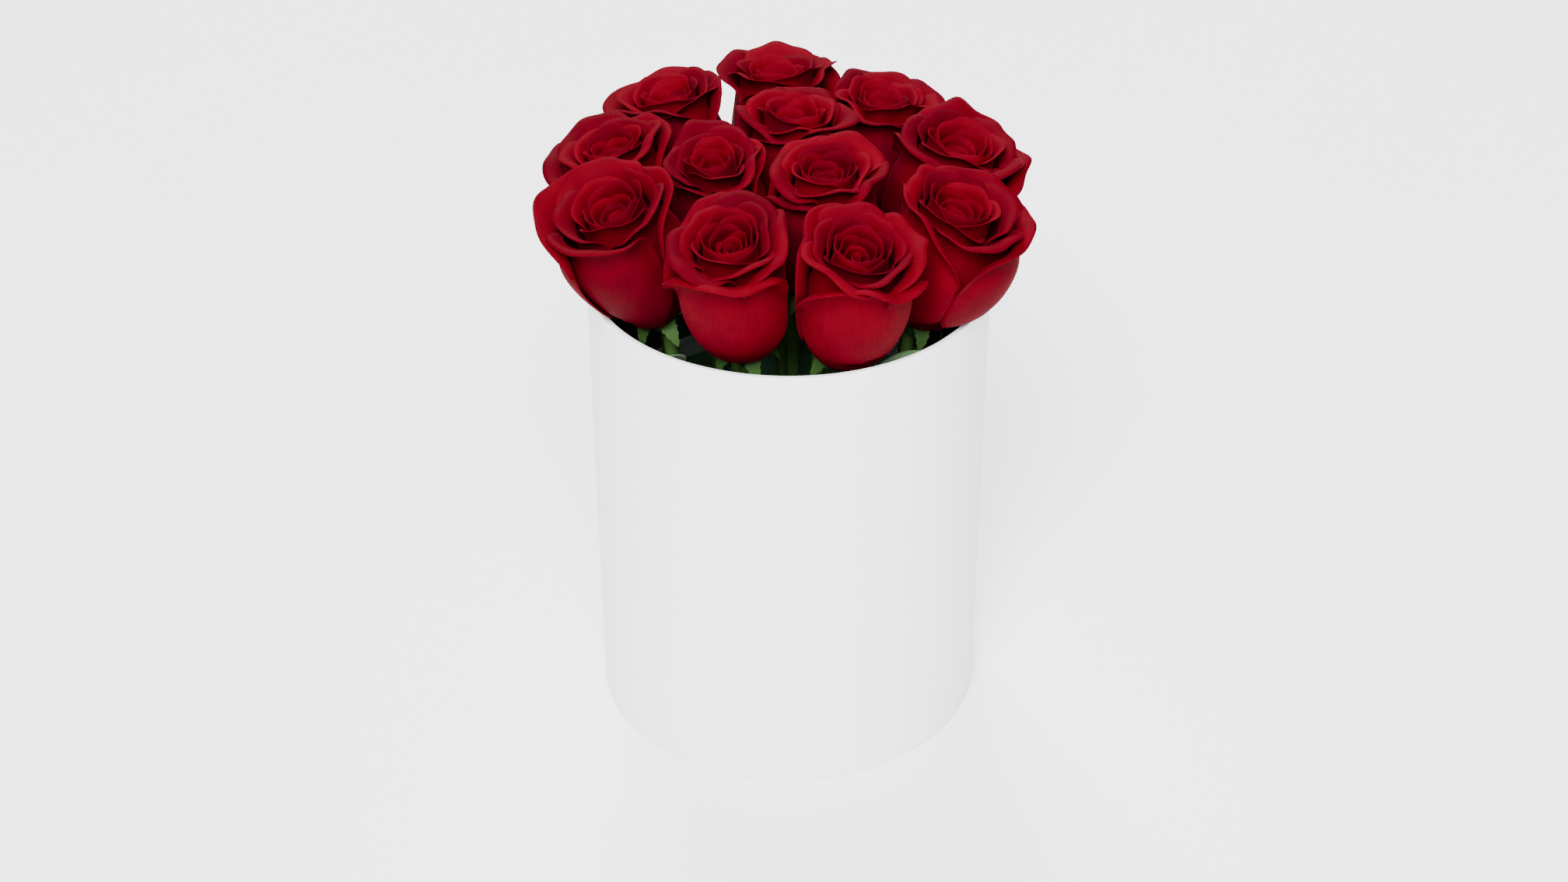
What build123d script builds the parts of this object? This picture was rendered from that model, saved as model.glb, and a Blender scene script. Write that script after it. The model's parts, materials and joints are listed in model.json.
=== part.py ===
"""Round flower box of wrapped board, holding a plastic liner, a block of floral foam and twelve cut roses.

Millimetres, +Z up. The origin is the centre of the box's underside, on the surface that it stands on.
The box stays put. The liner lifts out of it with the foam and the roses, and each rose draws out of
the foam along its own stem. Each function below makes one piece or one group of like pieces.
"""

import math
import os
from collections import namedtuple

from build123d import *

# The box: a tube and a disc of grey board under white paper.
BOX_DIAMETER = 180.0
BOX_HEIGHT = 220.0
WALL_BOARD = 1.8
BASE_BOARD = 2.0
PAPER = 0.25
TURN_IN = 15.0  # wrap folded over the rim and down the inside
TURN_UNDER = 12.0  # wrap folded under the base
UNDERSIDE_MARGIN = 4.0  # the underside disc stops this far short of the wall
LINING_DROP = 5.0  # the wall lining starts this far below the rim
GLUE_GAP = 0.05

# The liner, a thin formed cup, and the foam that fills it.
LINER_CLEARANCE = 1.0
LINER_WALL = 0.8
LINER_HEIGHT = 141.0
LINER_CORNER = 6.0
LINER_BEAD = 0.6  # how far the rolled lip stands inward of the wall
FOAM_CLEARANCE = 0.4
FOAM_HEIGHT = 130.0
FOAM_CHAMFER = 7.0

# One rose, up its own axes: the stem below the neck, then hip and bloom above it.
STEM_DIAMETER = 6.0
STEM_DEPTH = 50.0  # how deep the stem stands in the foam
HOLE_CLEARANCE = 0.1  # on the radius
FOOT_CLEARANCE = 0.3
STEM_CUT = 45.0  # slant of the cut end
HIP_HEIGHT = 10.0
HIP_RADIUS = 7.5
HIP_FLARE = 0.6  # the hip's foot is this much wider than the stem, on the radius
BLOOM_HEIGHT = 63.0
HEAD_RADIUS = 23.5
PETAL = 1.2
PETAL_COUNT = 5
PETAL_GAP = 2.5  # degrees between two neighbouring guard petals
HEART_CLEARANCE = 0.8
HEART_HEIGHT = 60.0  # from the top of the hip to the tip of the innermost petals
HEART_TIP = 1.5  # radius of the flat at that tip
HEART_SHOULDER = 3.5  # how far the heart's round shoulder lies below that tip
HEART_SIDE = 0.7  # share of the guard petals' upper curve that the heart follows
HEART_DOME = 0.7  # where the round shoulder lies, as a share of the radius that the dome starts at
SEPAL = 0.7
SEPAL_LENGTH = 16.0
SEPAL_WIDTH = 7.0
SEPAL_DROOP = 7.0
SEPAL_COUNT = 5

# Points on the outlines of a bloom, its hip and its sepals, each as shares of its width and height.
BLOOM_CUP = (0.75, 0.10)
BLOOM_SIDE = (0.93, 0.29)
BLOOM_WIDEST = (1.0, 0.59)
BLOOM_LIP = (0.88, 1.0)
HIP_WAIST = (0.8, 0.35)
SEPAL_ROOT = (0.8, 0.6)
SEPAL_BEND = (0.6, 0.2)

# How the roses stand together.
HEAD_GAP = 1.0
FOOT_SHARE = 0.76  # a stem's foot stands this share of its neck's reach from the middle
LEAN_PER_MM = 0.2  # degrees that a head leans out for each millimetre of its reach
NECK_MARGIN = 3.5  # a neck stays this much more than the head's radius from the wall

# A leaf that fills the gap between two heads at the wall.
LEAF = 0.8
LEAF_WIDTH = 13.0
LEAF_STALK = 1.1
LEAF_STALK_SHARE = 0.35
LEAF_MIDRIB = 1.3  # the stalk runs on under the blade to this many times its own length
LEAF_FROM_RIM = 36.0  # where it leaves the stem
LEAF_TIP_DROP = 4.0
LEAF_TIP_MARGIN = 5.0

# Each rose's bearing in degrees, its reach from the middle as a share of one head's pitch, how far
# its heart stands above the rim, how much wider than HEAD_RADIUS its head is, and how far round from
# it its leaf points, or None. Nine stand round the wall and three in the middle.
Rose = namedtuple("Rose", "bearing reach rise wider leaf")
ROSES = {
    "rose_01": Rose(250, 1.47, 52, 0.5, 16),
    "rose_02": Rose(292, 1.62, 51, 0.5, 20),
    "rose_03": Rose(209, 1.76, 53, 0.0, 22),
    "rose_04": Rose(332, 1.70, 52, 0.5, None),
    "rose_05": Rose(188, 0.69, 56, -1.0, None),
    "rose_06": Rose(314, 0.55, 59, 1.0, None),
    "rose_07": Rose(14, 1.68, 52, 1.5, None),
    "rose_08": Rose(166, 1.67, 51, -1.0, None),
    "rose_09": Rose(129, 1.78, 53, -0.5, None),
    "rose_10": Rose(85, 0.66, 61, -0.5, None),
    "rose_11": Rose(93, 1.85, 54, 0.0, None),
    "rose_12": Rose(56, 1.59, 52, -1.0, None),
}

# Radii and levels that follow from the sizes above.
box_radius = BOX_DIAMETER / 2
board_radius = box_radius - PAPER
board_inside = board_radius - WALL_BOARD
lining_outside = board_inside - PAPER - GLUE_GAP
inside_radius = lining_outside - PAPER
liner_radius = inside_radius - LINER_CLEARANCE
foam_radius = liner_radius - LINER_WALL - LINER_BEAD - FOAM_CLEARANCE

board_bottom = 2 * PAPER
floor_board_top = board_bottom + BASE_BOARD
floor_level = floor_board_top + PAPER
foam_bottom = floor_level + LINER_WALL
foam_top = foam_bottom + FOAM_HEIGHT
stem_radius = STEM_DIAMETER / 2
head_pitch = 2 * HEAD_RADIUS + HEAD_GAP
heart_from_neck = HIP_HEIGHT + HEART_HEIGHT


def spun(face, degrees=360.0):
    """A face drawn on the XZ plane, turned about Z into a solid."""
    return revolve(face, axis=Axis.Z, revolution_arc=degrees)


def section(points):
    """The face inside straight runs through points, each a (radius, level) pair."""
    return Plane.XZ * make_face(Polyline(*points, close=True))


def band(curve, points, outward, upward):
    """The strip that a curve through points sweeps when it moves by (outward, upward)."""
    moved = [(x + outward, z + upward) for x, z in points]
    start = Line(points[0], moved[0])
    end = Line(points[-1], moved[-1])
    return make_face([curve(*points), end, curve(*moved), start])


def disc(radius, bottom, top):
    """A round plate between two levels."""
    return Pos(0, 0, bottom) * extrude(Circle(radius), amount=top - bottom)


def ring(outside, inside, bottom, top):
    """A plain tube between two levels."""
    return Pos(0, 0, bottom) * extrude(Circle(outside) - Circle(inside), amount=top - bottom)


def outer_wrap():
    """The white paper, round the outside, over the rim and under the base."""
    inside = board_inside - GLUE_GAP
    flange = box_radius - TURN_UNDER
    return spun(
        section(
            [
                (box_radius, PAPER),
                (box_radius, BOX_HEIGHT),
                (inside - PAPER, BOX_HEIGHT),
                (inside - PAPER, BOX_HEIGHT - TURN_IN),
                (inside, BOX_HEIGHT - TURN_IN),
                (inside, BOX_HEIGHT - PAPER),
                (board_radius, BOX_HEIGHT - PAPER),
                (board_radius, board_bottom),
                (flange, board_bottom),
                (flange, PAPER),
            ]
        )
    )


def wall_tube():
    """The wound grey-board tube that carries the box."""
    return ring(board_radius - GLUE_GAP, board_inside, board_bottom, BOX_HEIGHT - PAPER)


def base_disc():
    """The grey-board disc glued into the tube's foot."""
    return disc(board_inside - GLUE_GAP, board_bottom, floor_board_top)


def underside_paper():
    """The paper disc that hides the wrap's folded edge and meets the table."""
    return disc(box_radius - UNDERSIDE_MARGIN, 0, PAPER)


def wall_lining():
    """The paper inside the wall, over the wrap's folded edge."""
    return ring(lining_outside - GLUE_GAP, inside_radius, floor_level, BOX_HEIGHT - LINING_DROP)


def floor_lining():
    """The paper disc on the floor."""
    return disc(lining_outside - GLUE_GAP, floor_board_top, floor_level)


def liner():
    """The watertight cup, with a rounded foot and a lip rolled inward."""
    top = floor_level + LINER_HEIGHT
    inside = liner_radius - LINER_WALL
    outside = Pos(0, 0, floor_level) * Cylinder(
        liner_radius, LINER_HEIGHT, align=(Align.CENTER, Align.CENTER, Align.MIN)
    )
    hollow = Pos(0, 0, foam_bottom) * Cylinder(
        inside, LINER_HEIGHT, align=(Align.CENTER, Align.CENTER, Align.MIN)
    )
    outside = fillet(outside.edges().group_by(Axis.Z)[0], LINER_CORNER)
    hollow = fillet(hollow.edges().group_by(Axis.Z)[0], LINER_CORNER - LINER_WALL)
    lip = ring(inside + LINER_WALL / 2, inside - LINER_BEAD, top - 2 * LINER_WALL, top)
    return outside - hollow + lip


def foam_block(roses):
    """The cylinder of floral foam, with a hole along each stem."""
    block = disc(foam_radius, foam_bottom, foam_top)
    block = chamfer(block.edges().group_by(Axis.Z)[0], FOAM_CHAMFER)
    for rose in roses:
        reach = STEM_DEPTH + 2 * STEM_DIAMETER
        hole = Pos(0, 0, -FOOT_CLEARANCE) * Cylinder(
            stem_radius + HOLE_CLEARANCE, reach, align=(Align.CENTER, Align.CENTER, Align.MIN)
        )
        block -= rose.stem_place * hole
    return block


class PlacedRose:
    """Where one rose's foot, neck and heart are, worked out from the box and its own row."""

    def __init__(self, rose):
        self.head_radius = HEAD_RADIUS + rose.wider
        self.out = Vector(1, 0, 0).rotate(Axis.Z, rose.bearing)
        heart_reach = rose.reach * head_pitch
        neck_limit = inside_radius - self.head_radius - NECK_MARGIN
        held = math.degrees(math.asin(max(heart_reach - neck_limit, 0) / heart_from_neck))
        self.lean = max(held, LEAN_PER_MM * heart_reach)
        across = math.sin(math.radians(self.lean))
        upward = math.cos(math.radians(self.lean))
        self.bloom_axis = self.out * across + Vector(0, 0, upward)
        self.heart = self.out * heart_reach + Vector(0, 0, BOX_HEIGHT + rose.rise)
        self.neck = self.heart - self.bloom_axis * heart_from_neck
        foot_level = foam_top - STEM_DEPTH
        neck_reach = heart_reach - across * heart_from_neck
        self.foot = self.out * (FOOT_SHARE * neck_reach) + Vector(0, 0, foot_level)
        self.stem_axis = (self.neck - self.foot).normalized()
        self.bloom_place = Plane(self.neck, x_dir=self.sideways(), z_dir=self.bloom_axis).location
        self.stem_place = Plane(self.foot, x_dir=self.sideways(), z_dir=self.stem_axis).location

    def sideways(self):
        """The level direction that both axes of the rose are square to."""
        return Vector(0, 0, 1).cross(self.out)


def stem(rose):
    """The cut stem, slanted at its foot, and trimmed square to the bloom at its neck."""
    length = (rose.neck - rose.foot).length + STEM_DIAMETER
    room = 4 * STEM_DIAMETER
    above_neck = Box(room, room, room, align=(Align.CENTER, Align.CENTER, Align.MIN))
    below_cut = Box(room, room, room, align=(Align.CENTER, Align.CENTER, Align.MAX))
    blank = Cylinder(stem_radius, length, align=(Align.CENTER, Align.CENTER, Align.MIN))
    blank -= Pos(0, -stem_radius, 0) * Rot(STEM_CUT, 0, 0) * below_cut
    return rose.stem_place * blank - rose.bloom_place * above_neck


def calyx(rose):
    """The green hip under the bloom and its drooping sepals."""
    neck = stem_radius + HIP_FLARE
    waist = (HIP_WAIST[0] * HIP_RADIUS, HIP_WAIST[1] * HIP_HEIGHT)
    side = ThreePointArc((neck, 0), waist, (HIP_RADIUS, HIP_HEIGHT))
    top = Line((HIP_RADIUS, HIP_HEIGHT), (0, HIP_HEIGHT))
    middle = Line((0, HIP_HEIGHT), (0, 0))
    hip = spun(Plane.XZ * make_face([side, top, middle, Line((0, 0), (neck, 0))]))
    root = (SEPAL_ROOT[0] * HIP_RADIUS, SEPAL_ROOT[1] * HIP_HEIGHT)
    bend = (SEPAL_BEND[0] * SEPAL_LENGTH, root[1] - SEPAL_BEND[1] * SEPAL_DROOP)
    tip = (SEPAL_LENGTH, root[1] - SEPAL_DROOP)
    umbrella = spun(Plane.XZ * band(ThreePointArc, [root, bend, tip], 0, SEPAL))
    half = SEPAL_WIDTH / 2
    reach = SEPAL_LENGTH
    blade = make_face(
        [
            ThreePointArc((0, 0), (reach / 2, half), (reach, 0)),
            ThreePointArc((reach, 0), (reach / 2, -half), (0, 0)),
        ]
    )
    cutter = Pos(0, 0, -HIP_HEIGHT) * extrude(blade, amount=2 * HIP_HEIGHT)
    for number in range(SEPAL_COUNT):
        hip += umbrella & (Rot(0, 0, 360 / SEPAL_COUNT * number) * cutter)
    return rose.bloom_place * hip


def petal_line(rose, inside_by):
    """A bloom's outline from root to lip, or one that lies inside it, as the edges of two arcs."""
    root = (HIP_RADIUS - inside_by, HIP_HEIGHT)
    cup, side, widest, lip = [
        (wide * rose.head_radius - inside_by, HIP_HEIGHT + high * BLOOM_HEIGHT)
        for wide, high in (BLOOM_CUP, BLOOM_SIDE, BLOOM_WIDEST, BLOOM_LIP)
    ]
    return [ThreePointArc(root, cup, side), ThreePointArc(side, widest, lip)]


def petals(rose):
    """The ring of guard petals that cups the heart."""
    outside = petal_line(rose, 0)
    inside = petal_line(rose, PETAL)
    foot = Line(inside[0] @ 0, outside[0] @ 0)
    lip = Line(inside[1] @ 1, outside[1] @ 1)
    petal = spun(Plane.XZ * make_face([*outside, lip, *inside, foot]), 360 / PETAL_COUNT - PETAL_GAP)
    places = [Rot(0, 0, 360 / PETAL_COUNT * number) for number in range(PETAL_COUNT)]
    return Compound(children=[rose.bloom_place * place * petal for place in places])


def heart(rose):
    """The closed bud of inner petals, standing on the hip inside the guard petals."""
    cup, upper = petal_line(rose, PETAL + HEART_CLEARANCE)
    side = upper.trim(0, HEART_SIDE)
    shoulder = side @ 1
    tip = (HEART_TIP, heart_from_neck)
    rounded = (HEART_DOME * shoulder.X, heart_from_neck - HEART_SHOULDER)
    dome = ThreePointArc(shoulder, rounded, tip)
    middle = Polyline(tip, (0, heart_from_neck), (0, HIP_HEIGHT), cup @ 0)
    return rose.bloom_place * spun(Plane.XZ * make_face([cup, side, dome, middle]))


def leaf(rose, turn):
    """One leaf on a stalk, from the stem up to the gap beside the head."""
    level = BOX_HEIGHT - LEAF_FROM_RIM
    share = (level - rose.foot.Z) / (rose.neck.Z - rose.foot.Z)
    start = rose.foot + (rose.neck - rose.foot) * share
    tip = rose.out.rotate(Axis.Z, turn) * (inside_radius - LEAF_TIP_MARGIN)
    tip += Vector(0, 0, BOX_HEIGHT - LEAF_TIP_DROP)
    along = (tip - start).normalized()
    across = Vector(0, 0, 1).cross(along).normalized()
    place = Plane(start, x_dir=along, z_dir=along.cross(across)).location
    length = (tip - start).length
    stalk_end = LEAF_STALK_SHARE * length
    middle = (stalk_end + length) / 2
    blade = make_face(
        [
            ThreePointArc((stalk_end, 0), (middle, LEAF_WIDTH / 2), (length, 0)),
            ThreePointArc((length, 0), (middle, -LEAF_WIDTH / 2), (stalk_end, 0)),
        ]
    )
    stalk = Rot(0, 90, 0) * Cylinder(
        LEAF_STALK, LEAF_MIDRIB * stalk_end, align=(Align.CENTER, Align.CENTER, Align.MIN)
    )
    whole = place * (Pos(0, 0, -LEAF / 2) * extrude(blade, amount=LEAF) + stalk)
    return whole - stem(rose)


def main():
    """Builds every piece and writes it to parts/."""
    os.makedirs("parts", exist_ok=True)
    placed = {name: PlacedRose(row) for name, row in ROSES.items()}
    pieces = {
        "wall_tube": wall_tube(),
        "base_disc": base_disc(),
        "outer_wrap": outer_wrap(),
        "underside_paper": underside_paper(),
        "wall_lining": wall_lining(),
        "floor_lining": floor_lining(),
        "liner": liner(),
        "foam_block": foam_block(placed.values()),
    }
    for name, rose in placed.items():
        pieces[name + "_stem"] = stem(rose)
        pieces[name + "_calyx"] = calyx(rose)
        pieces[name + "_petals"] = petals(rose)
        pieces[name + "_heart"] = heart(rose)
        if ROSES[name].leaf is not None:
            pieces[name + "_leaf"] = leaf(rose, ROSES[name].leaf)
    for name, piece in pieces.items():
        export_step(piece, f"parts/{name}.step")
    for name, rose in placed.items():
        print(name, "lean", round(rose.lean, 1), "slides along", [round(x, 5) for x in rose.stem_axis])


main()
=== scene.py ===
"""A round flower box of white paper over board, with twelve cut red roses standing in floral foam.

Metres, +Z up, in the frame of the construction model. The sections follow the box as it is put
together: the room it stands in, the box, the liner and foam, then stems, sepals, blooms and leaves.
"""

import json
import math

import bpy
import numpy as np
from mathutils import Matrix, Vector


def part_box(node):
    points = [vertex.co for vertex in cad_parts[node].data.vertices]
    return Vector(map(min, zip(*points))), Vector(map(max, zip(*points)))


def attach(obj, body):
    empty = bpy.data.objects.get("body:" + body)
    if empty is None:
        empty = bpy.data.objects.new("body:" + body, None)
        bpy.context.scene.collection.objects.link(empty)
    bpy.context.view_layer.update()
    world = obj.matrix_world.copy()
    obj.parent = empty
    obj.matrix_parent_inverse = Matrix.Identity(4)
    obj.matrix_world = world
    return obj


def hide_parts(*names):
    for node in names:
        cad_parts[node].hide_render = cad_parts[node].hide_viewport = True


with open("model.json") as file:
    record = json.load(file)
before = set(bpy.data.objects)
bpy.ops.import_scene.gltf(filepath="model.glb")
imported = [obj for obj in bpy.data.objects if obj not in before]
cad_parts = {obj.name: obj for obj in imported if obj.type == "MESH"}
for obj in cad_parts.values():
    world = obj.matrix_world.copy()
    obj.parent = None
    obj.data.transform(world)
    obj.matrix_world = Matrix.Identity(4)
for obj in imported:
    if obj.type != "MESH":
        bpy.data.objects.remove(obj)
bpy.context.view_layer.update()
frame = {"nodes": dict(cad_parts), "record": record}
NODES = frame["nodes"]
BODIES = frame["record"]["behaviour"]["bodies"]
MM = 0.001


# ---- The room -------------------------------------------------------------------------------
# A white seamless floor under soft panels of light, seen from above the front of the box.

CAMERA_AT = (0.0, -1.00224, 0.78966)
CAMERA_TILT = math.radians(56.63)
CAMERA_LENS = 59.18
CAMERA_SHIFT = -0.003
FLOOR_SIZE = 6.0
MIDDLE_OF_BOX = (0, 0, 0.15)
FRONT_TURN = (math.radians(44), 0, math.radians(-7))
FRONT_STRENGTH = 10.5
BACK_TURN = (math.radians(-50), 0, math.radians(12))
BACK_STRENGTH = 4.5
SUN_SOFTNESS = 30
ROOM_LIGHT = 0.6


class Amount:
    """A number inside a material, which can be added, taken away and multiplied like any other."""

    def __init__(self, finish, socket):
        self.finish = finish
        self.socket = socket

    def worked(self, operation, first, second):
        return self.finish.node("Math", {"operation": operation}, {0: first, 1: second})

    def __add__(self, other):
        return self.worked("ADD", self, other)

    def __sub__(self, other):
        return self.worked("SUBTRACT", self, other)

    def __rsub__(self, other):
        return self.worked("SUBTRACT", other, self)

    def __mul__(self, other):
        return self.worked("MULTIPLY", self, other)

    def __pow__(self, other):
        return self.worked("POWER", self, other)

    def least(self, other):
        return self.worked("MINIMUM", self, other)

    def most(self, other):
        return self.worked("MAXIMUM", self, other)

    __radd__ = __add__
    __rmul__ = __mul__


class Finish:
    """A material on one shader, built up node by node."""

    def __init__(self, name, **plain):
        self.material = bpy.data.materials.new(name)
        self.material.use_nodes = True
        self.tree = self.material.node_tree
        self.shader = self.tree.nodes["Principled BSDF"]
        by_name = {s.name.lower().replace(" ", "_"): s for s in self.shader.inputs}
        for socket, value in plain.items():
            by_name[socket].default_value = value

    def node(self, kind, settings, inputs, output=0):
        made = self.tree.nodes.new("ShaderNode" + kind)
        for name, value in settings.items():
            if name == "stops":
                self.set_stops(made.color_ramp, value)
            else:
                setattr(made, name, value)
        for key, value in inputs.items():
            self.feed(self.socket(made.inputs, key), value)
        return Amount(self, self.socket(made.outputs, output))

    def socket(self, sockets, key):
        if isinstance(key, int):
            return sockets[key]
        return next(s for s in sockets if key in (s.identifier, s.name) and s.enabled)

    def set_stops(self, ramp, stops):
        while len(ramp.elements) < len(stops):
            ramp.elements.new(0.5)
        for element, (place, colour) in zip(ramp.elements, stops):
            element.position = place
            element.color = (*colour, 1)

    def feed(self, socket, value):
        if isinstance(value, Amount):
            self.tree.links.new(value.socket, socket)
        elif isinstance(value, tuple) and len(value) == 3 and socket.type == "RGBA":
            socket.default_value = (*value, 1)
        else:
            socket.default_value = value

    def mix(self, first, second, share):
        settings = {"data_type": "RGBA"}
        inputs = {"Factor_Float": share, "A_Color": first, "B_Color": second}
        return self.node("Mix", settings, inputs, "Result_Color")

    def noise(self, place, scale, detail=3.0, roughness=0.55):
        inputs = {"Vector": place, "Scale": scale, "Detail": detail, "Roughness": roughness}
        return self.node("TexNoise", {}, inputs, "Fac")

    def object_place(self):
        return self.node("TexCoord", {}, {}, "Object")

    def colour(self, value):
        self.feed(self.shader.inputs["Base Color"], value)

    def rough(self, value):
        self.feed(self.shader.inputs["Roughness"], value)

    def bumps(self, height, depth, strength=1.0):
        inputs = {"Height": height, "Distance": depth, "Strength": strength}
        made = self.node("Bump", {}, inputs, "Normal")
        self.tree.links.new(made.socket, self.shader.inputs["Normal"])


def floor_finish():
    finish = Finish("floor_white", roughness=0.75, specular_ior_level=0.2)
    patches = finish.noise(finish.object_place(), 3.0)
    finish.colour(finish.mix((0.86, 0.86, 0.87), (0.9, 0.9, 0.9), patches))
    return finish.material


bpy.ops.object.select_all(action="DESELECT")
bpy.ops.mesh.primitive_plane_add(size=FLOOR_SIZE)
floor = bpy.context.object
floor.name = "floor"
floor.data.materials.append(floor_finish())

world = bpy.data.worlds.new("room")
bpy.context.scene.world = world
world.use_nodes = True
world.node_tree.nodes["Background"].inputs["Color"].default_value = (1, 1, 1, 1)
world.node_tree.nodes["Background"].inputs["Strength"].default_value = ROOM_LIGHT


def panel(name, at, wide, watts):
    """A square soft light that faces the middle of the box."""
    bpy.ops.object.light_add(type="AREA", location=at)
    light = bpy.context.object
    light.name = name
    light.data.size = wide
    light.data.energy = watts
    aim = Vector(MIDDLE_OF_BOX) - Vector(at)
    light.rotation_euler = aim.to_track_quat("-Z", "Y").to_euler()


panel("front_panel", (0.15, -1.5, 1.3), 1.2, 16)
panel("top_panel", (0.1, 0.2, 1.8), 0.8, 12)

for name, turn, strength in (
    ("front_sun", FRONT_TURN, FRONT_STRENGTH),
    ("back_sun", BACK_TURN, BACK_STRENGTH),
):
    bpy.ops.object.light_add(type="SUN", location=(0, 0, 2), rotation=turn)
    bpy.context.object.name = name
    bpy.context.object.data.energy = strength
    bpy.context.object.data.angle = math.radians(SUN_SOFTNESS)

camera_data = bpy.data.cameras.new("camera")
camera_data.lens = CAMERA_LENS
camera_data.shift_x = CAMERA_SHIFT
camera = bpy.data.objects.new("camera", camera_data)
bpy.context.scene.collection.objects.link(camera)
camera.location = CAMERA_AT
camera.rotation_euler = (CAMERA_TILT, 0, 0)
bpy.context.scene.camera = camera


# ---- The white wrap -------------------------------------------------------------------------
# One sheet of satin paper glued round the board tube. It folds over the rim and down the inside,
# and under the base, and its two ends meet flat at the back.

PAPER = 0.25 * MM
TURN_IN = 15 * MM
TURN_UNDER = 12 * MM
FOLD_RADIUS = 0.7 * MM
BOARD = 1.8 * MM
STRAIGHT_FROM = 10 * MM
STRAIGHT_STEPS = 9
WRAP_STEPS = 240
ENDS_MEET_AT = math.radians(90)
MERGE_WITHIN = 0.001 * MM
SATIN_WHITE = (0.86, 0.853, 0.88)


def select_only(thing):
    bpy.ops.object.select_all(action="DESELECT")
    thing.select_set(True)
    bpy.context.view_layer.objects.active = thing


def points_of(thing):
    """The places of a mesh's points, one row each."""
    flat = np.empty(len(thing.data.vertices) * 3)
    thing.data.vertices.foreach_get("co", flat)
    return flat.reshape(-1, 3)


def move_points(thing, places):
    thing.data.vertices.foreach_set("co", np.asarray(places, dtype=float).ravel())
    thing.data.update()


def finished(thing, body, slot, replaced, *finishes):
    """Gives a piece its finishes and its place in the object."""
    for finish in finishes:
        thing.data.materials.append(finish)
    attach(thing, body)
    if replaced:
        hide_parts(replaced)
    return thing


def paper_finish(name, tint, roughness):
    finish = Finish(name, roughness=roughness, specular_ior_level=0.4)
    place = finish.object_place()
    fibre = finish.noise(place, 900.0, 4.0)
    cloud = finish.noise(place, 14.0, 2.0)
    shade = tuple(0.965 * part for part in tint)
    finish.colour(finish.mix(shade, tint, cloud * 0.6 + fibre * 0.4))
    finish.rough(fibre * 0.12 + (roughness - 0.06))
    finish.bumps(fibre + cloud * 0.5, 0.02 * MM, 0.6)
    return finish.material


def lathe(name, outline, steps):
    """A thin ring of faces through an outline of (radius, level) pairs, turned about the axis."""
    bpy.ops.object.select_all(action="DESELECT")
    bpy.ops.mesh.primitive_grid_add(x_subdivisions=steps, y_subdivisions=len(outline) - 1, size=2)
    ring = bpy.context.object
    ring.name = name
    grid = points_of(ring)
    row = np.rint((grid[:, 1] + 1) / 2 * (len(outline) - 1)).astype(int)
    radius, level = np.array(outline)[row].T
    angle = ENDS_MEET_AT + grid[:, 0] * math.pi
    move_points(ring, np.c_[radius * np.cos(angle), radius * np.sin(angle), level])
    return ring


def fold(centre, radius, start, end, steps=5):
    """Points round a fold in the paper, with angles in degrees from straight out."""
    turns = np.radians(np.linspace(start, end, steps))
    return [(centre[0] + radius * math.cos(t), centre[1] + radius * math.sin(t)) for t in turns]


def apply_modifier(thing, kind, **settings):
    select_only(thing)
    modifier = thing.modifiers.new(kind.lower(), kind)
    for name, value in settings.items():
        setattr(modifier, name, value)
    bpy.ops.object.modifier_apply(modifier=modifier.name)


def close_seams(thing):
    select_only(thing)
    bpy.ops.object.mode_set(mode="EDIT")
    bpy.ops.mesh.select_all(action="SELECT")
    bpy.ops.mesh.remove_doubles(threshold=MERGE_WITHIN)
    bpy.ops.object.mode_set(mode="OBJECT")


wrap_low, wrap_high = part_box("outer_wrap")
box_radius = wrap_high.x
rim_level = wrap_high.z
wrap_foot = wrap_low.z
inside_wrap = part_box("wall_tube")[1].x - BOARD - PAPER
fold_line = FOLD_RADIUS - PAPER / 2
foot_fold = (box_radius - FOLD_RADIUS, wrap_foot + FOLD_RADIUS)
rim_fold = (box_radius - FOLD_RADIUS, rim_level - FOLD_RADIUS)
inner_fold = (inside_wrap + FOLD_RADIUS - PAPER, rim_level - FOLD_RADIUS)
straight = np.linspace(STRAIGHT_FROM, rim_level - STRAIGHT_FROM, STRAIGHT_STEPS)

outline = [(box_radius - TURN_UNDER, wrap_foot + PAPER / 2)]
outline += fold(foot_fold, fold_line, -90, 0)
outline += [(box_radius - PAPER / 2, level) for level in straight]
outline += fold(rim_fold, fold_line, 0, 90)
outline += fold(inner_fold, fold_line, 90, 180)
outline += [(inside_wrap - PAPER / 2, rim_level - TURN_IN)]
wrap = lathe("outer_wrap_sheet", outline, WRAP_STEPS)
close_seams(wrap)
apply_modifier(wrap, "SOLIDIFY", thickness=PAPER, offset=0)
bpy.ops.object.shade_smooth_by_angle(angle=math.radians(40))
satin = paper_finish("white_paper", SATIN_WHITE, 0.42)
finished(wrap, "box", "white_paper", "outer_wrap", satin)


# ---- Board, linings, liner and foam ---------------------------------------------------------
# The tube and base are wound and pressed grey board, lined with paper coloured near-black: painted
# shade for the deep, narrow gap between the blooms and the wall. The liner is a clear formed cup,
# and the foam in it is soaked, dark green and open-celled.

# Near-black lining colour: painted shade for the narrow gap between the blooms and the wall.
LINING_PAINTED_SHADE = (0.03, 0.029, 0.031)
UNDERSIDE_WHITE = (0.86, 0.855, 0.86)


def refinish(node, finish):
    """Gives a piece that keeps its construction shape a finish of its own."""
    node.data.materials.clear()
    node.data.materials.append(finish)


def board_finish():
    finish = Finish("grey_board", specular_ior_level=0.25)
    place = finish.object_place()
    fleck = finish.noise(place, 1400.0, 5.0, 0.7)
    cloud = finish.noise(place, 60.0, 3.0)
    finish.colour(finish.mix((0.21, 0.19, 0.165), (0.4, 0.37, 0.33), fleck * 0.7 + cloud * 0.3))
    finish.rough(fleck * 0.15 + 0.78)
    finish.bumps(fleck, 0.05 * MM)
    return finish.material


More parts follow.
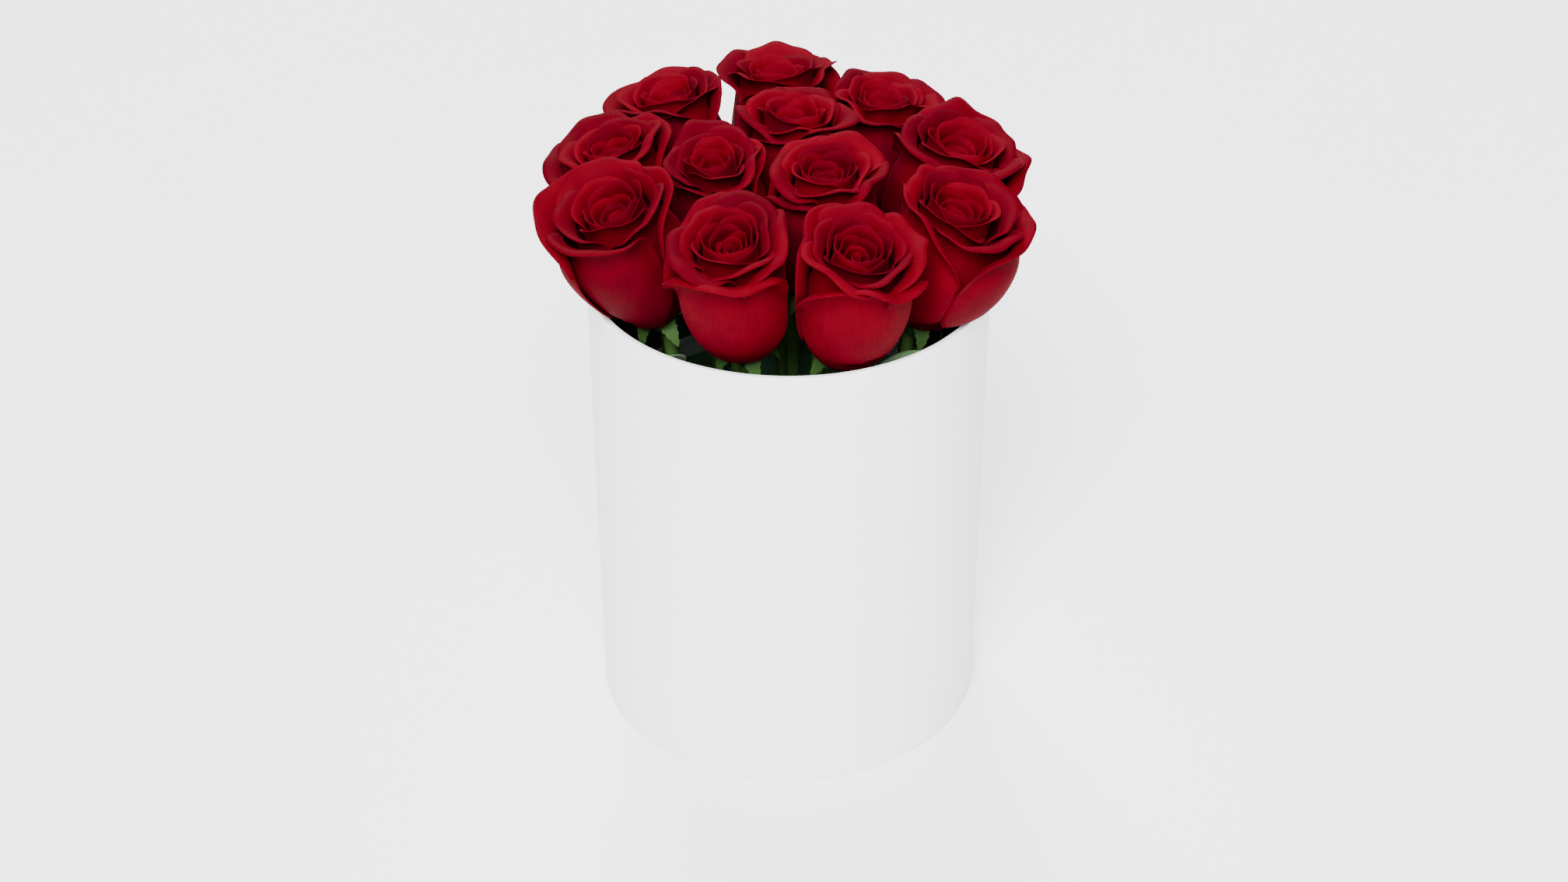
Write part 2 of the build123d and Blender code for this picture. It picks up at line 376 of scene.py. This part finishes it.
def liner_finish():
    finish = Finish("clear_liner", specular_ior_level=0.5, transmission_weight=0.6)
    mist = finish.noise(finish.object_place(), 25.0)
    finish.colour(finish.mix((0.62, 0.68, 0.66), (0.78, 0.83, 0.81), mist))
    finish.rough(mist * 0.15 + 0.12)
    finish.feed(finish.shader.inputs["Alpha"], mist * 0.15 + 0.4)
    return finish.material


def foam_finish():
    finish = Finish("floral_foam", specular_ior_level=0.3)
    place = finish.object_place()
    cells = finish.node("TexVoronoi", {}, {"Vector": place, "Scale": 1100.0}, "Distance")
    pits = finish.noise(place, 420.0, 5.0, 0.65)
    damp = finish.noise(place, 30.0)
    base = finish.mix((0.008, 0.035, 0.014), (0.035, 0.11, 0.04), pits)
    finish.colour(finish.mix(base, (0.012, 0.05, 0.02), damp * 0.6))
    finish.rough(damp * 0.3 + 0.5)
    finish.bumps(cells * 0.5 + pits, 0.5 * MM)
    return finish.material


board = board_finish()
lining_paper = paper_finish("lining_paper", LINING_PAINTED_SHADE, 0.75)
for name in ("wall_tube", "base_disc"):
    refinish(NODES[name], board)
for name in ("wall_lining", "floor_lining"):
    refinish(NODES[name], lining_paper)
refinish(NODES["underside_paper"], paper_finish("underside_paper", UNDERSIDE_WHITE, 0.6))
refinish(NODES["liner"], liner_finish())
refinish(NODES["foam_block"], foam_finish())


# ---- Stems ----------------------------------------------------------------------------------
# Cut rose stems, stripped of thorns, each cut on a slant and pushed into the foam.


def green_finish(name, dark, light, roughness):
    finish = Finish(name, specular_ior_level=0.12)
    place = finish.object_place()
    streak = finish.noise(place, 160.0, 4.0)
    fleck = finish.noise(place, 900.0, 3.0)
    finish.colour(finish.mix(dark, light, streak * 0.7 + fleck * 0.3))
    finish.rough(fleck * 0.15 + roughness)
    finish.bumps(fleck + streak, 0.08 * MM)
    return finish.material


stem_green = green_finish("stem_green", (0.014, 0.035, 0.008), (0.045, 0.095, 0.022), 0.4)
sepal_green = green_finish("sepal_green", (0.012, 0.032, 0.006), (0.035, 0.085, 0.018), 0.6)
ROSES = sorted(body for body in BODIES if body.startswith("rose_"))
for name in ROSES:
    refinish(NODES[name + "_stem"], stem_green)


# ---- Where each bloom stands ----------------------------------------------------------------
# A bloom grows up its own axis from the neck. Its petals keep to the room that the neighbouring
# blooms and the wall of the box leave it, at rest and while either of the two is drawn out of the
# foam, which is what squares off roses that stand packed.

ROOM_MARGIN = 0.35 * MM
FINDING_TURNS = 12
HALVINGS = 11
SHARPNESS = 8.0
NARROWEST = 2 * MM
FLAT_END = 0.1 * MM
LINING = 0.3 * MM
FARTHEST = 46 * MM
HIP_HEIGHT = 10 * MM
WALL_MARGIN = 0.8 * MM
NEIGHBOUR_WITHIN = 85 * MM
DRAW_STEPS = [step * MM for step in (4, 10, 17, 26, 38)]
TOP_FROM = 80 * MM
TOP_TO = 92 * MM
BEYOND_TOP = 15 * MM
CUP_RADIUS = 24 * MM
DRAWN_ALONG = {joint["child"]: joint["axis"] for joint in frame["record"]["behaviour"]["joints"]}
lining_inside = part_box("wall_lining")[1].x - LINING


class Bloom:
    """The neck, the axis and the size of one bloom, read from its construction solids."""

    def __init__(self, name):
        self.drawn_along = unit(DRAWN_ALONG[name])
        stem = points_of(NODES[name + "_stem"])
        heart = points_of(NODES[name + "_heart"])
        petals = points_of(NODES[name + "_petals"])
        self.up = unit(heart.mean(0) - stem.mean(0))
        for _ in range(FINDING_TURNS):
            self.neck = self.middle_of_top(stem)
            self.up = unit(self.middle_of_top(heart) - self.neck)
        self.east = unit(np.cross((0, 1, 0), self.up))
        self.north = np.cross(self.up, self.east)
        off = petals - self.neck
        off -= np.outer(off @ self.up, self.up)
        self.radius = np.linalg.norm(off, axis=1).max()

    def middle_of_top(self, points):
        """The middle of the flat end that a solid has at the top, along the bloom's axis."""
        height = points @ self.up
        flat_end = np.unique(np.round(points[height > height.max() - FLAT_END], 6), axis=0)
        return flat_end.mean(0)

    def place(self, radius, angle, height):
        """Points at a radius, a turn about the axis and a height above the neck."""
        across = np.cos(angle)[..., None] * self.east + np.sin(angle)[..., None] * self.north
        return self.neck + height[..., None] * self.up + radius[..., None] * across

    def from_axis(self, points):
        off = points - self.neck
        return np.linalg.norm(off - (off @ self.up)[..., None] * self.up, axis=-1)

    def limit(self, angle, height, others):
        """How far out the petals may reach in each direction at each height."""
        angle, height = np.broadcast_arrays(angle, height)
        tight = np.zeros(angle.shape)
        for other in others:
            if np.linalg.norm(self.neck - other.neck) > NEIGHBOUR_WITHIN:
                continue
            least = np.full(angle.shape, FARTHEST)
            for shift in self.shifts(other):
                free = self.search(angle, height, lambda p, r: self.nearer(p - shift, r, other))
                at = self.place(np.full(angle.shape, CUP_RADIUS), angle, height) - shift
                free += BEYOND_TOP * smooth(TOP_FROM, TOP_TO, (at - other.neck) @ other.up)
                least = np.minimum(least, free)
            tight += least**-SHARPNESS
        free = self.search(angle, height, self.inside_wall)
        tight += free**-SHARPNESS
        return tight ** (-1 / SHARPNESS)

    def shifts(self, other):
        """Where a neighbour stands from this bloom, at rest and as either of the two is drawn."""
        mine = [-step * self.drawn_along for step in DRAW_STEPS]
        theirs = [step * other.drawn_along for step in DRAW_STEPS]
        return [np.zeros(3), *mine, *theirs]

    def nearer(self, points, radius, other):
        mine = radius**2 - self.radius**2
        theirs = other.from_axis(points) ** 2 - other.radius**2
        return mine < theirs

    def inside_wall(self, points, radius):
        reach = np.hypot(points[..., 0], points[..., 1])
        clear = points[..., 2] > rim_level + WALL_MARGIN
        return clear | (reach < lining_inside - WALL_MARGIN)

    def search(self, angle, height, allowed):
        """The largest radius that is still allowed, found by halving."""
        low = np.full(angle.shape, NARROWEST)
        high = np.full(angle.shape, FARTHEST)
        for _ in range(HALVINGS):
            middle = (low + high) / 2
            fits = allowed(self.place(middle, angle, height), middle)
            low = np.where(fits, middle, low)
            high = np.where(fits, high, middle)
        return low - ROOM_MARGIN


def unit(vector):
    vector = np.asarray(vector, dtype=float)
    return vector / np.linalg.norm(vector)


def smooth(low, high, value):
    share = np.clip((value - low) / (high - low), 0, 1)
    return share * share * (3 - 2 * share)


blooms = {name: Bloom(name) for name in ROSES}


# ---- Hips and sepals ------------------------------------------------------------------------
# The green hip under each bloom, with five sepals that have opened and turned down over it.

SEPAL_COUNT = 5
HIP_NECK = 3.6 * MM
HIP_WIDEST = 7.4 * MM
SEPAL_THICK = 0.7 * MM
SEPAL_ROOT = 6 * MM
SEPAL_REACH = 11 * MM
SEPAL_CURL = 2.5 * MM
SEPAL_WIDE = 3.3 * MM
SEPAL_TIP = 0.15 * MM
SEPAL_ARCH = 1.5 * MM
SEPAL_CUP = 0.9 * MM
HIP_TOP = 0.5 * MM


def grid(name, across, along):
    """A flat sheet of faces from -1 to 1 across and 0 to 1 along, with its UV map laid flat."""
    bpy.ops.object.select_all(action="DESELECT")
    bpy.ops.mesh.primitive_grid_add(x_subdivisions=across, y_subdivisions=along, size=2)
    sheet = bpy.context.object
    sheet.name = name
    flat = points_of(sheet)
    return sheet, flat[:, 0], (flat[:, 1] + 1) / 2


def joined(name, things):
    bpy.ops.object.select_all(action="DESELECT")
    for thing in things:
        thing.select_set(True)
    bpy.context.view_layer.objects.active = things[0]
    bpy.ops.object.join()
    whole = bpy.context.object
    whole.name = name
    return whole


def hip_of(bloom):
    hip, around, up = grid("hip", 24, 14)
    swell = np.sin(np.clip(up * 1.08, 0, 1) * math.pi / 2) ** 1.6
    radius = HIP_NECK + (HIP_WIDEST - HIP_NECK) * swell
    radius = np.where(up > 0.999, HIP_TOP, radius)
    move_points(hip, bloom.place(radius, around * math.pi, up * HIP_HEIGHT))
    close_seams(hip)
    return hip


def sepal_of(bloom, turn, seed):
    """One narrow, pointed sepal that arches out from the hip and hangs down."""
    random = np.random.default_rng(seed)
    sepal, across, along = grid("sepal", 6, 16)
    reach = SEPAL_ROOT + along * SEPAL_REACH - along**3 * SEPAL_CURL
    drop = random.uniform(7, 10) * MM
    height = 0.86 * HIP_HEIGHT + SEPAL_ARCH * np.sin(along * math.pi) - drop * along**2
    taper = np.sin(math.pi * np.clip(0.22 + 0.78 * along, 0, 1)) ** 0.8
    wide = SEPAL_WIDE * taper + SEPAL_TIP
    wide *= 1 + 0.12 * np.sin(along * 31 + seed)
    side = across * wide
    height += SEPAL_CUP * across**2 * (1 - along)
    angle = turn + side / reach + random.normal(0, 0.03) * along
    move_points(sepal, bloom.place(np.hypot(reach, side), angle, height))
    apply_modifier(sepal, "SOLIDIFY", thickness=SEPAL_THICK, offset=0)
    return sepal


for number, (name, bloom) in enumerate(blooms.items()):
    parts = [hip_of(bloom)]
    for count in range(SEPAL_COUNT):
        parts.append(sepal_of(bloom, math.tau * count / SEPAL_COUNT, 10 * number + count))
    green = joined(name + "_sepals", parts)
    bpy.ops.object.shade_smooth_by_angle(angle=math.radians(50))
    finished(green, name, "sepal_green", name + "_calyx", sepal_green)


# ---- Petals ---------------------------------------------------------------------------------
# Velvet petals set one outside the next, each a golden turn round from the last. The inner ones
# close into a spiral, and the outer ones cup it, open at the top and roll their lips back.

PETALS = 21
FIRST_OUTER = 11
GOLDEN_TURN = math.radians(137.5)
SPIRAL_PER_RADIAN = 0.27
PETAL_THICK = 0.35 * MM
PETAL_TALL = 62 * MM
CUP_TO = 0.5
LIP_FROM = 0.62
SHEEN_TINT = (1.0, 0.02, 0.08)
CUP_WIDEST = 23.9 * MM
LIP_ROOM = 5.0 * MM
FREE_ROOM = 12 * MM
HEAD_RADIUS = 23.5 * MM
GIVES_FROM = 0.9


def petal_finish(name, deep, bright, sheen):
    """Velvet: a soft sheen at glancing angles over fine veins that run up the petal."""
    finish = Finish(name, specular_ior_level=0.015, sheen_weight=sheen, sheen_roughness=0.35)
    finish.feed(finish.shader.inputs["Sheen Tint"], SHEEN_TINT)
    lay = finish.node("UVMap", {"uv_map": "UVMap"}, {}, "UV")
    painted_light_to_lip = finish.node("SeparateXYZ", {}, {"Vector": lay}, "Y")
    tone = finish.node("Attribute", {"attribute_name": "tone"}, {}, "Fac")
    stretch = finish.node("Mapping", {}, {"Vector": lay, "Scale": (34.0, 2.2, 1.0)}, "Vector")
    veins = finish.noise(stretch, 2.0, 4.0, 0.6)
    nap = finish.noise(finish.object_place(), 2600.0, 3.0, 0.6)
    clouds = finish.noise(finish.object_place(), 95.0, 3.0)
    # Lighter towards each petal's lip and darker at its base: painted light on the lips and painted
    # shade deep in the cup. The per-petal tone, the veins and the clouds are the petals' own
    # colour.
    light = tone * 0.45 + veins * 0.35 + clouds * 0.5 + painted_light_to_lip * 0.3 - 0.38
    finish.colour(finish.mix(deep, bright, light.most(0.0).least(1.0)))
    finish.rough(nap * 0.16 + 0.6)
    finish.bumps(veins * 0.7 + nap * 0.3 + clouds * 0.6, 0.28 * MM, 0.8)
    return finish.material


def wave(random, u, count, low, high):
    """A gentle seeded ripple along u, made of a few sines."""
    total = np.zeros_like(u)
    for _ in range(count):
        size = random.uniform(0.4, 1)
        total += size * np.sin(random.uniform(low, high) * u + random.uniform(0, 6.3))
    return total / count


def petal_of(bloom, rose, count, others):
    """One petal, by how far out it stands in the bloom from 0, the innermost, to PETALS - 1."""
    random = np.random.default_rng(1000 * rose.seed + count)
    share = count / (PETALS - 1)
    columns, rows = (18, 16) if count < FIRST_OUTER else (34, 28)
    petal, u, v = grid("petal", columns, rows)
    half_wide = math.radians(150 - 55 * smooth(0, 0.35, share) - 26 * smooth(0.35, 0.9, share))
    turned = rose.facing + GOLDEN_TURN * (count - PETALS + 1)
    angle = turned + u * half_wide * (0.55 + 0.45 * smooth(0, 0.45, v))
    order = np.clip((count + SPIRAL_PER_RADIAN * u * half_wide) / (PETALS - 1), 0.0, 1.08)
    guard = smooth(0.78, 1, share)

    top = 57 + 8 * smooth(0.08, 0.5, share) + 4 * smooth(0.5, 0.88, share)
    top = (top - 3 * smooth(0.9, 1, share)) * MM
    top += random.normal(0, 0.9) * MM * (0.3 + share) + rose.longer * (count == PETALS - 1)
    drop = (2 + 5 * share) * MM * np.abs(u) ** 2.2 + (2 + 9 * share) * MM * np.abs(u) ** 7
    peak = 1.5 * MM * share * np.exp(-(((u - random.uniform(-0.25, 0.25)) / 0.2) ** 2))
    length = top - drop + peak + 0.8 * MM * share * wave(random, u, 3, 4, 11)
    along = v * length
    level = along / PETAL_TALL

    size = bloom.radius / HEAD_RADIUS
    root = (1.2 + 5.4 * order) * MM
    belly = (4.5 + 19.2 * order**0.85) * size * MM
    mouth = (0.8 + 19.8 * order**0.8) * size * MM
    bulge = np.sqrt(1 - (1 - np.clip(level / CUP_TO, 0, 1)) ** 2)
    radius = root + (belly - root) * bulge
    radius += (mouth - belly) * smooth(CUP_TO, 0.97, level)
    radius += 0.5 * MM * share * wave(random, u, 2, 1, 4) * smooth(0.1, 0.6, level)

    roll = (1.0 + 12.6 * smooth(0.32, 0.95, order)) * MM
    roll = roll * (1 + 0.28 * wave(random, u, 2, 3, 7))
    roll *= 1 - 0.88 * (1 - guard) * smooth(0.6, 0.96, np.abs(u))
    bend = np.radians(12 + 88 * smooth(0.3, 0.9, order)) * rose.openness
    bend *= 1 + 0.22 * wave(random, u, 2, 2, 6)
    into = np.clip(roll - (length - along), 0, None)
    curve = roll / bend
    radius += curve * (1 - np.cos(into / curve))
    height = HIP_HEIGHT + along - (into - curve * np.sin(into / curve))
    ruffle = 1.5 * MM * share * wave(random, u, 3, 6, 14)
    radius += ruffle * (into / roll) ** 1.6
    height += 0.5 * ruffle * (into / roll) ** 1.6

    height += rose.tilt * radius * np.sin(angle) * smooth(0.3, 1, level)

    limit = bloom.limit(angle, height, others)
    widest = (CUP_WIDEST + LIP_ROOM * smooth(LIP_FROM, 0.95, level)) * size
    opened = rose.spread * smooth(0.6, 1, share) * smooth(0, FREE_ROOM, limit - widest)
    radius += opened * smooth(rose.opens_from, 0.95, level)
    height -= 0.2 * opened * smooth(0.6, 1, level)
    radius *= np.minimum(1, limit / widest)
    pressed = np.clip(radius / limit - GIVES_FROM, 0, None) / (1 - GIVES_FROM)
    given = GIVES_FROM + (1 - GIVES_FROM) * (1 - np.exp(-pressed))
    radius = limit * np.where(pressed > 0, given, radius / limit)
    move_points(petal, bloom.place(radius, angle, height))
    tone = petal.data.attributes.new("tone", "FLOAT", "POINT")
    tone.data.foreach_set("value", np.full(len(u), random.uniform(0, 1), dtype=np.float32))
    return petal


class Rose:
    """How one rose differs: its seed, where its outermost petal faces, and how it has opened."""

    def __init__(self, seed, facing, openness, spread, tilt, opens_from=0.2, longer=0):
        self.seed = seed
        self.facing = math.radians(facing)
        self.openness = openness
        self.spread = spread * MM
        self.tilt = math.tan(math.radians(tilt))
        self.opens_from = opens_from
        self.longer = longer * MM


GARDEN = {
    "rose_01": Rose(1, 262, 1.05, 3, 4),
    "rose_02": Rose(2, 285, 0.95, 2, 4),
    "rose_03": Rose(3, 156, 0.8, 11, 5, 0.1, 8),
    "rose_04": Rose(4, 348, 0.9, 12, 2, -0.2),
    "rose_05": Rose(5, 20, 0.85, 2, 9),
    "rose_06": Rose(6, 250, 1.15, 3, 6),
    "rose_07": Rose(7, 8, 1.1, 6, 9),
    "rose_08": Rose(8, 170, 1.0, 5, 8),
    "rose_09": Rose(9, 150, 0.95, 4, 15),
    "rose_10": Rose(10, 250, 1.05, 3, 9),
    "rose_11": Rose(11, 60, 0.9, 2, 17),
    "rose_12": Rose(12, 40, 0.95, 4, 13),
}

velvet = petal_finish("petal_velvet", (0.024, 0.0, 0.002), (0.1, 0.0, 0.0045), 0.05)

for name, bloom in blooms.items():
    others = [other for other in blooms.values() if other is not bloom]
    rose = GARDEN[name]
    for part, numbers, replaced in (
        ("inner", range(FIRST_OUTER), "_heart"),
        ("outer", range(FIRST_OUTER, PETALS), "_petals"),
    ):
        whole = joined(f"{name}_{part}", [petal_of(bloom, rose, n, others) for n in numbers])
        apply_modifier(whole, "SOLIDIFY", thickness=PETAL_THICK, offset=0)
        bpy.ops.object.shade_smooth()
        finished(whole, name, f"{part}_petal", name + replaced, velvet)


# ---- Leaves ---------------------------------------------------------------------------------
# A toothed rose leaf on its stalk, which fills the gap between two blooms at the rim.

LEAF_THICK = 0.5 * MM
STALK_SHARE = 0.3
STALK_WIDE = 0.9 * MM
BLADE_WIDE = 6.2 * MM
TEETH = 13
TOOTH = 0.5 * MM
STEM_FOOT = 8 * MM


def leaf_finish():
    finish = Finish("leaf_green", specular_ior_level=0.5, sheen_weight=0.15)
    lay = finish.node("UVMap", {"uv_map": "UVMap"}, {}, "UV")
    along = finish.node("SeparateXYZ", {}, {"Vector": lay}, "Y")
    across = finish.node("SeparateXYZ", {}, {"Vector": lay}, "X")
    side = finish.node("Math", {"operation": "ABSOLUTE"}, {0: across - 0.5})
    wave_at = (along - side * 0.9) * 48.0
    rib = finish.node("Math", {"operation": "SINE"}, {0: wave_at})
    middle = finish.node("Math", {"operation": "LESS_THAN"}, {0: side, 1: 0.02})
    veins = (rib * 0.5 + 0.5) ** 8.0
    blotch = finish.noise(finish.object_place(), 220.0, 4.0)
    green = finish.mix((0.018, 0.06, 0.012), (0.07, 0.19, 0.035), blotch)
    finish.colour(finish.mix(green, (0.09, 0.2, 0.05), veins * 0.45 + middle * 0.5))
    finish.rough(blotch * 0.2 + 0.3)
    finish.bumps(veins * -0.6 - middle + blotch * 0.3, 0.35 * MM, 0.8)
    return finish.material


leaf_green = leaf_finish()
for number, name in enumerate(n for n in ROSES if n + "_leaf" in NODES):
    plate = points_of(NODES[name + "_leaf"])
    stem = points_of(NODES[name + "_stem"])
    neck = blooms[name].neck
    far = plate[np.argmax(np.linalg.norm(plate[:, :2] - neck[:2], axis=1))]
    stem_line = unit(neck - stem[stem[:, 2] < stem[:, 2].min() + STEM_FOOT].mean(0))
    foot = plate[np.argmin(np.linalg.norm(np.cross(plate - neck, stem_line), axis=1))]
    leaf, across, along = grid(name + "_leaf_blade", 18, 40)
    line = unit(far - foot)
    side = unit(np.cross((0, 0, 1), line))
    face = np.cross(line, side)
    length = np.linalg.norm(far - foot)
    blade = np.clip((along - STALK_SHARE) / (1 - STALK_SHARE), 0, 1)
    wide = STALK_WIDE + BLADE_WIDE * np.sin(math.pi * blade**0.8) ** 0.75
    teeth = TOOTH * np.abs(across) ** 6 * np.abs(((blade * TEETH) % 1) - 0.2) * (blade > 0.03)
    out = across * (wide + teeth)
    lift = -0.9 * MM * np.abs(across) * (blade > 0)
    lift += 2.0 * MM * np.abs(across) ** 1.3 * np.sin(math.pi * blade)
    lift += 1.2 * MM * np.sin(math.pi * along)
    lift += 0.5 * MM * np.sin(9 * along + 4 * across + number)
    places = foot + np.outer(along * length, line) + np.outer(out, side) + np.outer(lift, face)
    move_points(leaf, places)
    apply_modifier(leaf, "SOLIDIFY", thickness=LEAF_THICK, offset=0)
    bpy.ops.object.shade_smooth_by_angle(angle=math.radians(60))
    finished(leaf, name, "leaf_green", name + "_leaf", leaf_green)
